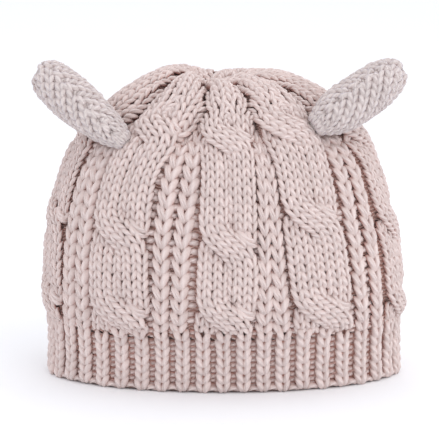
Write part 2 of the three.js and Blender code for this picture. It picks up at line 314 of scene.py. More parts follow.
def turn_in_cable(cable, across, level):
    """Turn of a place across a cable, from -1 at its left edge to 1. cable may be an array."""
    rows = np.array([row[:3] for row in CABLES])[np.asarray(cable) % CABLE_COUNT]
    shift, sway, pull = rows[..., 0], rows[..., 1], rows[..., 2]
    level = np.asarray(level, float)
    swaying = sway * np.sin(math.pi * np.clip(level / SWAY_END, 0, 1))
    drift = shift + swaying + pull * smoothstep(level, PULL_START, PULL_FULL)
    return (cable + drift + across * cable_half_share(level)) / CABLE_COUNT


def turn_in_gap(gap, across, level):
    """Turn of a place in the gap after a cable, from 0 to 1."""
    return mix(turn_in_cable(gap, 1, level), turn_in_cable(gap + 1, -1, level), across)


def crossing_phase(cable, level, crown_length, crossing_length):
    """How many times the strands have crossed below a level; it isn't whole within a crossing."""
    half = crossing_length / crown_length / 2
    return sum(smoothstep(level, at - half, at + half) for at in CABLES[cable % CABLE_COUNT][3])


def strand_height(over):
    return 1 + np.where(over > 0, OVER_RISE, UNDER_DROP) * over


def crease_depth(across, level, depth):
    reach = smoothstep(level, CREASE_START, CREASE_FULL) * (1 - smoothstep(level, CREASE_END, 1))
    return depth * reach * np.sin(math.pi * across)


def flatten(level):
    """The relief dies away towards the gathered point."""
    return mix(1, FADE_END, smoothstep(level, CREASE_END, 1))


class Wale:
    """A column of stitches: where its middle runs on a surface, row by row, and how wide it is. Its
    stitches turn with its slant, by the share steer."""

    def __init__(self, surface, turn, level, row, width, inset, steer=0.6):
        self.surface = surface
        step = 1e-3
        across = np.linalg.norm(surface(turn + step, level) - surface(turn - step, level), axis=-1)
        upward = np.linalg.norm(surface(turn, level + step) - surface(turn, level - step), axis=-1)
        across, upward = np.maximum(across / (2 * step), 1), np.maximum(upward / (2 * step), 1)
        rise, run = np.gradient(level) * upward, np.gradient(turn) * across
        reach = max(3, len(level) // 40)
        kernel = np.ones(2 * reach + 1) / (2 * reach + 1)
        slant = np.arctan2(run, rise)
        slant = np.convolve(np.pad(slant, reach, "edge"), kernel, "valid") * steer
        self.turn_aside = np.cos(slant) / across
        self.level_aside = -np.sin(slant) / upward
        points = surface(turn, level)
        steps = np.linalg.norm(np.diff(points, axis=0), axis=1)
        self.rows = np.concatenate([[0], np.cumsum(steps)]) / row
        self.turn, self.level, self.width, self.inset = turn, level, width, inset

    def place(self, row, aside):
        """Turn, level and inset at a row and at that many millimetres aside."""
        at = [np.interp(row, self.rows, values) for values in (self.turn, self.level)]
        turn = at[0] + aside * np.interp(row, self.rows, self.turn_aside)
        level = at[1] + aside * np.interp(row, self.rows, self.level_aside)
        return turn, level, np.interp(row, self.rows, self.inset)


# How unevenly the yarn is knitted: along the wale in rows, aside in widths of the wale, in girth as
# a share of it, and in height in yarn radii
ROW_STRAY, ASIDE_STRAY, GIRTH_STRAY, HEIGHT_STRAY = 0.045, 0.018, 0.06, 0.08
# Where a wale narrows its yarn is squeezed, down to SLIMMEST. The crest of a length of yarn lies
# CREST radii over its middle line.
SLIMMEST, CREST = 0.72, 0.9
# Painted shade in the yarn's colour: how dark it is painted on its side, how much darker beneath,
# and how much darker where it dives
PAINTED_SIDE_SHADE, PAINTED_UNDER_SHADE, PAINTED_DIVE_SHADE = 0.34, 0.46, 0.3


class Yarn:
    """Lengths of yarn on one surface, gathered for one piece."""

    def __init__(self, surface, seed):
        self.surface, self.random = surface, np.random.default_rng(seed)
        self.points, self.normals, self.radii, self.painted_shades = [], [], [], []

    def stitch(self, wale, rows, radius, side, shape=LEG, shift=0.0, depth=0.0, sink=0.0, flip=False,
               roundness=None):
        """Lays one leg of every stitch of a wale, on the side given by the sign of side. The shift is
        a share of the wale's width, and sink, in millimetres, presses a leg into the fabric. depth
        adds painted shade, darkening the leg's colour where it lies deep or passes under."""
        along, aside, height, girth = (np.array(values) for values in shape)
        if flip:
            along = 1 - along
        wander = self.random.normal(0, 1, (4, len(rows), 1))
        place = rows[:, None] + along + ROW_STRAY * wander[0]
        width = np.interp(rows, wale.rows, wale.width)[:, None]
        shift = np.broadcast_to(shift, len(rows))[:, None]
        offset = side * (aside + ASIDE_STRAY * wander[1]) * width + shift * width
        slim = np.clip(width[:, 0] / np.max(wale.width), SLIMMEST, 1)
        radius = radius * (1 + GIRTH_STRAY * wander[2][:, 0]) * slim
        turn, level, inset = wale.place(place, offset)
        inset = inset + (CREST - height - HEIGHT_STRAY * wander[3]) * radius[:, None]
        inset = inset + np.broadcast_to(sink, len(rows))[:, None]
        if roundness is not None:
            inset = inset + roundness(level, offset)
        points, normals = inset_points(self.surface, turn, level, inset)
        self.points.append(points)
        self.normals.append(normals)
        self.radii.append(radius[:, None] * girth)
        # Painted shade: the yarn is coloured darker where it dives into the fabric, and by depth
        dive_shade = PAINTED_DIVE_SHADE * np.clip(0.1 - height, 0, 1.2)
        deep = np.broadcast_to(depth, len(rows))[:, None] + dive_shade
        self.painted_shades.append(np.broadcast_to(deep, points.shape[:2]))

    def piece(self, name):
        """Copies the length of yarn to every line, as one mesh in metres."""
        template = yarn_length()
        points, normals = np.concatenate(self.points), np.concatenate(self.normals)
        radii, painted_shades = np.concatenate(self.radii), np.concatenate(self.painted_shades)
        tangents = np.gradient(points, axis=1)
        tangents /= np.linalg.norm(tangents, axis=-1, keepdims=True)
        sideways = np.cross(normals, tangents)
        sideways /= np.linalg.norm(sideways, axis=-1, keepdims=True)
        outward = np.cross(tangents, sideways)
        ring, x, y = template["ring"], template["x"], template["y"]
        offsets = x[:, None] * sideways[:, ring] + y[:, None] * outward[:, ring]
        places = points[:, ring] + radii[:, ring, None] * offsets
        count, corners = len(points), len(ring)
        copies = np.arange(count)[:, None]
        faces = (template["faces"][None] + corners * copies).ravel()
        starts = (template["starts"][None] + len(template["faces"]) * copies).ravel()
        mesh = bpy.data.meshes.new(name)
        mesh.vertices.add(count * corners)
        mesh.vertices.foreach_set("co", (places * MM).ravel())
        mesh.loops.add(len(faces))
        mesh.loops.foreach_set("vertex_index", faces)
        mesh.polygons.add(len(starts))
        mesh.polygons.foreach_set("loop_start", starts)
        mesh.polygons.foreach_set("use_smooth", np.ones(len(starts), bool))
        mesh.update(calc_edges=True)
        mesh.uv_layers.new(name="along_yarn").data.foreach_set("uv", np.tile(template["uv"], count))
        # Each length's own tone at random, and the painted shade of each point: darker on the yarn's
        # sides and underside, and where it lies deep in the knitting or dives
        tone = np.repeat(self.random.random(count), corners)
        low = -(offsets * normals[:, ring]).sum(-1)
        depth = np.clip(PAINTED_SIDE_SHADE + PAINTED_UNDER_SHADE * low + painted_shades[:, ring], 0, 1)
        for attribute, values in (("tone", tone), ("depth", depth.ravel())):
            mesh.attributes.new(attribute, "FLOAT", "POINT").data.foreach_set("value", values)
        mesh.validate()
        return bpy.data.objects.new(name, mesh)


def start_clean():
    bpy.ops.object.select_all(action="DESELECT")


def select_where(mesh, kind, test):
    """In edit mode afterwards, with only the vertices or edges that pass the test selected."""
    bpy.ops.object.mode_set(mode="EDIT")
    bpy.ops.mesh.select_mode(type=kind)
    bpy.ops.mesh.select_all(action="DESELECT")
    bpy.ops.object.mode_set(mode="OBJECT")
    for item in mesh.vertices if kind == "VERT" else mesh.edges:
        item.select = test(item)
    bpy.ops.object.mode_set(mode="EDIT")


def stands_up(mesh, edge):
    first, last = (mesh.vertices[corner].co for corner in edge.vertices)
    return abs(first.z - last.z) > 0.5


def yarn_length():
    """One short length of yarn, modelled once: eight sides, five segments and rounded ends."""
    start_clean()
    segments = LEG_POINTS - 1
    bpy.ops.mesh.primitive_cylinder_add(vertices=8, radius=1, depth=segments, end_fill_type="NGON")
    piece = bpy.context.object
    mesh = piece.data
    select_where(mesh, "EDGE", lambda edge: stands_up(mesh, edge))
    bpy.ops.mesh.subdivide(number_cuts=segments - 1)
    select_where(mesh, "VERT", lambda v: abs(v.co.z) > segments / 2 - 0.1)
    bpy.ops.transform.resize(value=(0.8, 0.8, 1))
    bpy.ops.object.mode_set(mode="OBJECT")
    corners = np.array([v.co for v in mesh.vertices])
    template = {
        "ring": np.rint(corners[:, 2] + segments / 2).astype(int),
        "x": corners[:, 0],
        "y": corners[:, 1],
        "faces": np.array([v for face in mesh.polygons for v in face.vertices]),
        "starts": np.array([face.loop_start for face in mesh.polygons]),
        "uv": np.array([loop.uv for loop in mesh.uv_layers.active.data]).ravel(),
    }
    bpy.data.objects.remove(piece)
    bpy.data.meshes.remove(mesh)
    return template


def grid_piece(name, columns, rows, shape):
    """A grid from Blender's own primitive, bent into a closed skin: shape gives its points, in
    millimetres, from shares across and up. Its first and last rows close to a point."""
    start_clean()
    bpy.ops.mesh.primitive_grid_add(x_subdivisions=columns, y_subdivisions=rows, size=1)
    piece = bpy.context.object
    piece.name = piece.data.name = name
    mesh = piece.data
    flat = np.empty(3 * len(mesh.vertices))
    mesh.vertices.foreach_get("co", flat)
    flat = flat.reshape(-1, 3)
    mesh.vertices.foreach_set("co", (shape(flat[:, 0] + 0.5, flat[:, 1] + 0.5) * MM).ravel())
    mesh.update()
    bpy.ops.object.mode_set(mode="EDIT")
    bpy.ops.mesh.select_all(action="SELECT")
    bpy.ops.mesh.remove_doubles(threshold=1e-6)
    bpy.ops.mesh.normals_make_consistent(inside=False)
    bpy.ops.object.mode_set(mode="OBJECT")
    bpy.ops.object.shade_smooth()
    return piece


def pattern_place(across):
    """Where a share of the full turn lies in the pattern: the cable or gap, and how far across."""
    spot = across * CABLE_COUNT
    cable = np.rint(spot)
    offset = spot - cable
    half = CABLE_SHARE / 2
    in_cable = np.abs(offset) <= half
    gap = np.where(offset > 0, cable, cable - 1).astype(int)
    gap_across = np.where(offset > 0, offset - half, offset + 1 - half) / (1 - CABLE_SHARE)
    return cable.astype(int), in_cable, offset / half, gap, gap_across


def finish(piece, material, slot, *nodes):
    if piece.name not in bpy.context.collection.objects:
        bpy.context.collection.objects.link(piece)
    piece.data.materials.clear()
    piece.data.materials.append(material)
    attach(piece, "root")
    if nodes:
        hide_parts(*nodes)
    return piece


# Materials

def linear(colour):
    """An sRGB hex value as linear numbers."""
    values = [int(colour[k:k + 2], 16) / 255 for k in (1, 3, 5)]
    return [v / 12.92 if v <= 0.04045 else ((v + 0.055) / 1.055) ** 2.4 for v in values]


def node(tree, kind, settings=None, links=None):
    """Adds a node. Settings name its inputs or its own properties; links give sources of inputs."""
    made = tree.nodes.new(kind)
    for key, value in (settings or {}).items():
        if isinstance(key, int) or key in made.inputs:
            made.inputs[key].default_value = value
        else:
            setattr(made, key, value)
    for key, source in (links or {}).items():
        tree.links.new(source, made.inputs[key])
    return made


def maths(tree, operation, by, links):
    """A number worked out: by is the bare second input, and links give the sources of the others."""
    return node(tree, "ShaderNodeMath", {"operation": operation, 1: by}, links).outputs[0]


def sine(tree, source):
    return node(tree, "ShaderNodeMath", {"operation": "SINE"}, {0: source}).outputs[0]


def grain(tree, size_mm, detail, roughness):
    """Noise whose coarsest flecks are of that size."""
    place = node(tree, "ShaderNodeTexCoord").outputs["Object"]
    settings = {"Scale": 1 / (size_mm * MM), "Detail": detail, "Roughness": roughness}
    return node(tree, "ShaderNodeTexNoise", settings, {"Vector": place}).outputs[0]


def bump(tree, strength, distance_mm, links):
    settings = {"Strength": strength, "Distance": distance_mm * MM}
    return node(tree, "ShaderNodeBump", settings, links).outputs[0]


def surface(tree, settings, links):
    shader = node(tree, "ShaderNodeBsdfPrincipled", settings, links)
    node(tree, "ShaderNodeOutputMaterial", links={"Surface": shader.outputs[0]})


def empty_material(name):
    material = bpy.data.materials.new(name)
    material.use_nodes = True
    material.node_tree.nodes.clear()
    return material, material.node_tree


# Acrylic and wool yarn, spun from several plies that twist round each other. To the eye it is
# matt and a little hairy: light catches the fibres that stand off it, so its edges glow faintly.
# Its colour is painted darker and warmer on its sides, beneath and deep between the stitches, and
# in the grooves between the plies, as painted shade. The plies show as faint slanting ridges
# about 3 mm apart, and the fibres as a fine fleck of about 0.5 mm.
PLIES = 3
TWISTS = 0.5
PLY_HEIGHT_MM, PLY_GROOVE_SHADE = 0.4, -0.08
FLECK_MM, FLECK_DEPTH = 1.4, 0.3
FUZZ_MM, FUZZ_HEIGHT_MM = 0.6, 0.25


def chunky_yarn(name, light, middle, dark, halo, halo_tint):
    material, tree = empty_material(name)
    depth = node(tree, "ShaderNodeAttribute", {"attribute_name": "depth"}).outputs["Fac"]
    tone = node(tree, "ShaderNodeAttribute", {"attribute_name": "tone"}).outputs["Fac"]
    along = node(tree, "ShaderNodeUVMap", {"uv_map": "along_yarn"}).outputs["UV"]
    parts = node(tree, "ShaderNodeSeparateXYZ", links={0: along}).outputs
    round_yarn = maths(tree, "MULTIPLY", TURN * PLIES, {0: parts["X"]})
    twist = maths(tree, "MULTIPLY_ADD", TURN * PLIES * 2 * TWISTS, {0: parts["Y"], 2: round_yarn})
    ridges = sine(tree, twist)
    # Painted shade: darker in the grooves between the plies and where the yarn lies deep
    painted_shade = maths(tree, "MULTIPLY_ADD", PLY_GROOVE_SHADE, {0: ridges, 2: depth})
    fleck = grain(tree, FLECK_MM, 3, 0.6)
    painted_shade_and_fleck = maths(tree, "MULTIPLY_ADD", FLECK_DEPTH, {0: fleck, 2: painted_shade})
    ramp = node(tree, "ShaderNodeValToRGB", links={0: painted_shade_and_fleck})
    first, last = ramp.color_ramp.elements
    # The lit colour on the crests, and painted shade on the sides and deep between the stitches
    first.position, first.color = 0.1, (*light, 1)
    last.position, last.color = 0.95, (*dark, 1)
    ramp.color_ramp.elements.new(0.45).color = (*middle, 1)
    value = node(tree, "ShaderNodeMapRange", {"To Min": 0.93, "To Max": 1.05}, {"Value": tone})
    colour = node(
        tree, "ShaderNodeHueSaturation", links={"Color": ramp.outputs["Color"], "Value": value.outputs[0]}
    )
    plies = bump(tree, 0.6, PLY_HEIGHT_MM, {"Height": ridges})
    hairy = bump(tree, 0.3, FUZZ_HEIGHT_MM, {"Height": grain(tree, FUZZ_MM, 2, 0.7), "Normal": plies})
    settings = {
        "Roughness": 0.92, "IOR": 1.5, "Specular IOR Level": 0.25,
        "Sheen Weight": halo, "Sheen Roughness": 0.5, "Sheen Tint": (*halo_tint, 1),
    }
    surface(tree, settings, {"Base Color": colour.outputs["Color"], "Normal": hairy})
    return material


# The inside of the fabric and the ground behind the stitches: rows of purl bumps, where the heads
# of the loops lie side by side. It is painted darker between the bumps, as painted shade, and the
# ground of the crown and band is painted darker than the face's yarn, as painted shade where little
# light reaches it. Each piece's fabric is given as its length round and up its grid, in millimetres.
PURL_WIDE_MM, PURL_MM, PURL_HEIGHT_MM, PURL_BOW = 5.4, 4.3, 1.5, 1.2
CROWN_FABRIC, BAND_FABRIC, EAR_FABRIC = (490, 600), (490, 56), (76, 60)


def purl_ground(name, light, dark, fabric):
    material, tree = empty_material(name)
    grid = node(tree, "ShaderNodeUVMap", {"uv_map": "UVMap"}).outputs["UV"]
    parts = node(tree, "ShaderNodeSeparateXYZ", links={0: grid}).outputs
    columns = maths(tree, "MULTIPLY", TURN * round(fabric[0] / PURL_WIDE_MM), {0: parts["X"]})
    rows = maths(tree, "MULTIPLY", TURN * round(fabric[1] / PURL_MM), {0: parts["Y"]})
    bowed = maths(tree, "MULTIPLY_ADD", PURL_BOW, {0: sine(tree, columns), 2: rows})
    height = node(tree, "ShaderNodeMapRange", {"From Min": -1}, {"Value": sine(tree, bowed)}).outputs[0]
    # Painted shade: the colour darkens from the tops of the bumps to the hollows between them
    painted_shade_tones = {"data_type": "RGBA", 6: (*dark, 1), 7: (*light, 1)}
    colour = node(tree, "ShaderNodeMix", painted_shade_tones, {0: height})
    bumps = bump(tree, 0.9, PURL_HEIGHT_MM, {"Height": height})
    settings = {"Roughness": 0.95, "IOR": 1.5, "Specular IOR Level": 0.2, "Sheen Weight": 0.2}
    surface(tree, settings, {"Base Color": colour.outputs[2], "Normal": bumps})
    return material


# Seamless studio paper, rolled smooth and uncoated: matt and nearly white, a touch blue
def studio_paper(colour):
    material, tree = empty_material("seamless studio paper")
    fibres = bump(tree, 0.03, 0.2, {"Height": grain(tree, 2.5, 2, 0.5)})
    settings = {"Base Color": (*colour, 1), "Roughness": 0.9, "Specular IOR Level": 0.1}
    surface(tree, settings, {"Normal": fibres})
    return material


def hat_yarn():
    look = bpy.context.scene.hat_colours
    name, halo = "chunky wool-blend yarn", linear("#FFF4F0")
    colours = look.yarn_light, look.yarn_painted_side_shade, look.yarn_painted_deep_shade
    return bpy.data.materials.get(name) or chunky_yarn(name, *colours, 0.3, halo)


def ear_yarn():
    look = bpy.context.scene.hat_colours
    name, halo = "ear wool-blend yarn", linear("#CCCCE6")
    colours = look.ear_light, look.ear_painted_side_shade, look.ear_painted_deep_shade
    return bpy.data.materials.get(name) or chunky_yarn(name, *colours, 0.4, halo)


# The sizes and colours that a user would change

def length(name, default, description):
    return FloatProperty(name=name, default=default, unit="LENGTH", min=0, description=description)


def tint(name, default, description):
    return FloatVectorProperty(
        name=name, default=linear(default), size=3, min=0, max=1, subtype="COLOR", description=description
    )


class HatSizes(bpy.types.PropertyGroup):
    """The hat's form."""

    half_width: length("Half width", 0.092, "Half the hat's width over the crests of the knitting")
    half_depth: length("Half depth", 0.06, "Half the hat's depth over the crests of the knitting")
    height: length("Height", 0.1558, "Height of the crown over the surface that the hem stands on")
    band_height: length("Band height", 0.0285, "Height of the ribbed band")
    wall: length("Wall", 0.003, "Thickness of the knitting under its relief")
    cable_relief: length("Cable relief", 0.0042, "How far the cables stand above the ground")
    rib_relief: length("Rib relief", 0.0026, "How far the ribs beside the cables stand above the ground")
    band_relief: length("Band relief", 0.0022, "How far the ribs of the band stand above their valleys")
    crease_depth: length("Crease depth", 0.009, "How deep the creases are where the crown is gathered")
    crossing_length: length("Crossing length", 0.03, "Height in which the strands of a cable cross")
    gather_dip: length("Gather dip", 0.0055, "How far the gathered stitches pull down the top")
    ear_half_width: length("Ear half width", 0.0115, "Half the widest part of an ear")
    ear_half_depth: length("Ear half depth", 0.013, "Half the thickest part of an ear, front to back")
    ear_bend: length("Ear bend", 0.002, "How far the middle of an ear's line is drawn down")


class YarnSizes(bpy.types.PropertyGroup):
    """The yarn and its stitches."""

    radius: length("Yarn radius", 0.00138, "Half the thickness of the yarn in the cables")
    rib_radius: length("Rib yarn radius", 0.00205, "Half the thickness of the fat legs of the ribs")
    thin_radius: length("Thin strand radius", 0.0012, "Half the thickness of the ribs' paired strands")
    bump_radius: length("Purl bump radius", 0.0016, "Half the thickness of the bumps in the valleys")
    row: length("Row height", 0.0043, "Height of a row of the cables")
    rib_row: length("Rib row height", 0.0066, "Height of a row of the ribs beside the cables")
    rib_stitch: length("Rib stitch width", 0.0086, "Width of a stitch of the ribs beside the cables")
    stitch: length("Stitch width", 0.0052, "Width of a stitch of the cables")
    band_stitch: length("Band stitch width", 0.0069, "Width of a rib of the band")
    band_radius: length("Band yarn radius", 0.00165, "Half the thickness of the yarn in the band")
    band_row: length("Band row height", 0.0045, "Height of a row of the band")


class HatColours(bpy.types.PropertyGroup):
    """Colours of the yarn."""

    # Lit colours, and painted shade: the yarn is painted darker on its sides and deep between the stitches,
    # and the ground's colours are painted shade, darker than the yarn's face
    yarn_light: tint("Yarn, lit", "#E0D0CC", "The hat's yarn where the light reaches it")
    yarn_painted_side_shade: tint("Yarn", "#D1BBB5", "The hat's yarn on its sides")
    yarn_painted_deep_shade: tint("Yarn, deep", "#C27C6E", "The hat's yarn deep between the stitches")
    ear_light: tint("Ear yarn, lit", "#D9CECA", "The ears' yarn where the light reaches it")
    ear_painted_side_shade: tint("Ear yarn", "#C8B9B5", "The ears' yarn on its sides")
    ear_painted_deep_shade: tint("Ear yarn, deep", "#A87A6D", "The ears' yarn deep between the stitches")
    ground_painted_shade: tint("Ground", "#D4B0A6", "The ground behind the stitches")
    ground_painted_deep_shade: tint("Ground, deep", "#A97B6F", "The ground between its bumps")


class StageSizes(bpy.types.PropertyGroup):
    """The camera and lights."""

    distance: length("Camera distance", 0.9, "How far the camera stands from the hat's middle")
    elevation: FloatProperty(
        name="Camera elevation", default=math.radians(10.5), subtype="ANGLE",
        description="Angle above the horizon",
    )
    focal: FloatProperty(
        name="Focal length", default=146, description="The camera's focal length in millimetres"
    )
    aim: FloatVectorProperty(
        name="Aim", default=(-0.0023, 0, 0.0817), subtype="TRANSLATION", description="Where the camera looks"
    )
    key: FloatProperty(
        name="Key light", default=5.2, unit="POWER", description="Power of the soft light in front"
    )
    fill: FloatProperty(
        name="Surroundings", default=1.11, description="Strength of the light from all round"
    )


def crown_wall_of(sizes):
    band = sizes.band_height / MM
    return Wall(CROWN_SECTIONS, sizes, band, sizes.height / MM - band, sizes.gather_dip / MM)


def band_wall_of(sizes):
    return Wall(BAND_SECTIONS, sizes, 0, sizes.band_height / MM)


# The ground follows the share GROUND_SHARE of the solid's relief, GROUND_DROP below the crests of
# the stitches, and falls to FOOT_DROP behind the seam with the band. GROUND_SPARE of fabric is left
# behind it. All the drops are in millimetres.
GROUND_SHARE, GROUND_DROP, GROUND_SPARE = 0.75, 2.1, 0.8
FOOT_DROP, FOOT_LEVEL, FOOT_TUCK = 3.4, 0.06, 0.6
# The lining takes up this share of the crown wall's grid
LINING_PART = 0.3

# Above the crossings the cables swell into soft lobes, which meet in narrow creases
LOBE_START, LOBE_FULL = 0.42, 0.66
LOBE_SHARE, LOBE_DEPTH = 0.97, 9.0
# Where the creases start and end to close, at the front and at the back, and what is left of them
CREASES_CLOSE, CREASES_CLOSED, CLOSED_SHARE = (0.82, 0.66), (0.98, 0.86), 0.12


def lobe_depth(level, turn):
    """Depth of the creases in millimetres. Towards the gather they close, and first at the back."""
    back = 0.5 - 0.5 * np.cos(TURN * turn)
    closed = smoothstep(level, mix(*CREASES_CLOSE, back), mix(*CREASES_CLOSED, back))
    return LOBE_DEPTH * smoothstep(level, LOBE_START, LOBE_FULL) * mix(1, CLOSED_SHARE, closed)


def lobe_fall(across):
    """How a lobe falls away from its middle to the creases at -1 and 1, as a share of its depth."""
    return 1 - np.sqrt(1 - np.clip(0.96 * across, -0.99, 0.99) ** 2)


def ground_fall(turn, level):
    """How far the ground falls into the creases between the lobes, in millimetres."""
    fall = np.zeros(len(turn))
    for number in range(CABLE_COUNT):
        before, middle, after = (turn_in_cable(number + side, 0, level) for side in (-1, 0, 1))
        past = (turn - middle + 0.5) % 1 - 0.5
        apart = np.where(past < 0, middle - before, after - middle)
        across = 2 * past / apart
        fall = np.where(np.abs(across) <= 1, lobe_fall(across), fall)
    return fall * lobe_depth(level, turn)


def crown_inset(sizes, wall, cable, in_cable, across, gap_across, level):
    """How far the solid's own surface lies below its crests at a place in the pattern."""
    relief, rib = sizes.cable_relief / MM, sizes.rib_relief / MM
    raised = np.zeros(len(level))
    for number in range(CABLE_COUNT):
        here = in_cable & (cable % CABLE_COUNT == number)
        phase = crossing_phase(number, level[here], wall.length, sizes.crossing_length / MM)
        side, over = STRAND_OFFSET * np.cos(math.pi * phase), np.sin(math.pi * phase)
        strands = [
            strand_height(sign * over)
            * np.sqrt(np.clip(1 - ((across[here] - sign * side) / STRAND_HALF_WIDTH) ** 2, 0, 1))
            for sign in (1, -1)
        ]
        raised[here] = relief * np.maximum(*strands)
    raised *= mix(START_SWELL, 1, smoothstep(level, 0, START_LEVEL))
    fade = 1 - RIB_FADE * smoothstep(level, CREASE_START, CREASE_END)
    ribbed = rib * fade * np.sin(2 * math.pi * gap_across) ** 2
    ribbed = ribbed - crease_depth(gap_across, level, sizes.crease_depth / MM)
    return (relief - np.where(in_cable, raised, ribbed)) * flatten(level)


class HAT_OT_crown_wall(bpy.types.Operator):
    """Make the wall of the crown behind its stitches, with its lining and its gathered top"""

    bl_idname = "hat.crown_wall"
    bl_label = "Crown Wall"

    def execute(self, context):
        sizes, look = context.scene.hat_sizes, context.scene.hat_colours
        wall = crown_wall_of(sizes)
        relief, crease = sizes.cable_relief / MM, sizes.crease_depth / MM

        def shape(around, up):
            cable, in_cable, across, gap, gap_across = pattern_place(around)
            outside = up >= LINING_PART - 1e-6
            outer, inner = (up - LINING_PART) / (1 - LINING_PART), LINING_TOP * (1 - up / LINING_PART)
            level = np.clip(np.where(outside, outer, inner), 0, 1)
            in_gap = turn_in_gap(gap, gap_across, level)
            turn = np.where(in_cable, turn_in_cable(cable, across, level), in_gap)
            fall = ground_fall(turn, level)
            creased = np.where(in_cable, 0, crease_depth(gap_across, level, crease))
            lining = relief + sizes.wall / MM + np.maximum(creased, fall)
            ground = crown_inset(sizes, wall, cable, in_cable, across, gap_across, level)
            ground = ground * GROUND_SHARE + GROUND_DROP
            ground = mix(FOOT_DROP, ground, smoothstep(level, 0, FOOT_LEVEL))
            ground = np.maximum(ground, fall + GROUND_DROP + GROUND_SPARE)
            inset = np.where(outside, np.minimum(ground, lining - GROUND_SPARE), lining)
            points, _ = inset_points(wall, turn, level, inset)
            foot = np.abs(level) < 1e-6
            points[foot, 2] = sizes.band_height / MM - FOOT_TUCK
            for end in (up < 1e-6, up > 1 - 1e-6):
                points[end] = points[end].mean(0)
            return points

        piece = grid_piece("crown_wall", 360, 120, shape)
        material = purl_ground("purl side of the crown", look.ground_painted_shade, look.ground_painted_deep_shade, CROWN_FABRIC)
        finish(piece, material, "hat_knit", "crown")
        return {"FINISHED"}


class HAT_OT_band_wall(bpy.types.Operator):
    """Make the wall of the band behind its ribs, a closed ring that the hat stands on"""

    bl_idname = "hat.band_wall"
    bl_label = "Band Wall"

    def execute(self, context):
        sizes, look = context.scene.hat_sizes, context.scene.hat_colours
        wall = band_wall_of(sizes)
        high, relief, thick = sizes.band_height / MM, sizes.band_relief / MM, sizes.wall / MM
        # Shares up the grid, heights and insets round the ring: outside, top edge, lining, bottom
        shares = (0, 0.04, 0.1, 0.45, 0.5, 0.55, 0.95, 1)
        heights = (0.2, 0.6, 2, high - 1, high - 0.2, high - 0.2, 0.2, 0.2)
        insets = (FOOT_DROP, 2.4, 1.4, 1.2, 1.3, relief + thick, relief + thick, FOOT_DROP)
        valleys = (0, 0.6, 1, 1, 1, 0, 0, 0)

        def shape(around, up):
            height, inset = np.interp(up, shares, heights), np.interp(up, shares, insets)
            cable, in_cable, across, gap, gap_across = pattern_place(around)
            turn = np.where(in_cable, turn_in_cable(cable, across, 0), turn_in_gap(gap, gap_across, 0))
            # Three ribs to a cable and two to a gap
            bends = np.where(in_cable, 1.5 * math.pi * (across + 1), TURN * gap_across)
            ribs = np.sin(bends) ** 2
            valley = relief * (1 - ribs) * np.interp(up, shares, valleys)
            points, _ = inset_points(wall, turn, height / high, inset + valley)
            points[:, 2] = height
            return points

        piece = grid_piece("band_wall", 450, 40, shape)
        material = purl_ground("purl side of the band", look.ground_painted_shade, look.ground_painted_deep_shade, BAND_FABRIC)
        finish(piece, material, "band_knit", "ribbed_band")
        return {"FINISHED"}


# Above its third crossing a cable's wales spread evenly over its lobe, from and to these levels
# over the crossing. Before that, a strand's wales lie PITCH of the cable's half width apart, and
# after it EVEN_WALES fill the width. A wale that is narrower than LEAST_WALE of a stitch ends.
SPREAD_START, SPREAD_END, PITCH, EVEN_WALES, LEAST_WALE = 0.07, 0.13, 0.32, 6.1, 0.42
# A strand changes sides out of sight in this part of a crossing, pressed under by HIDDEN_SINK
# millimetres, and its stitches nearer to the strand over it than NEAREST are left out
HIDDEN_PART, HIDDEN_SINK, NEAREST = (0.36, 0.64), 2.4, 0.46


def first_level(turn):
    """Where the crown's stitches start: the band reaches a little higher at the front and back."""
    return -0.012 + 0.03 * math.cos(TURN * turn) ** 2


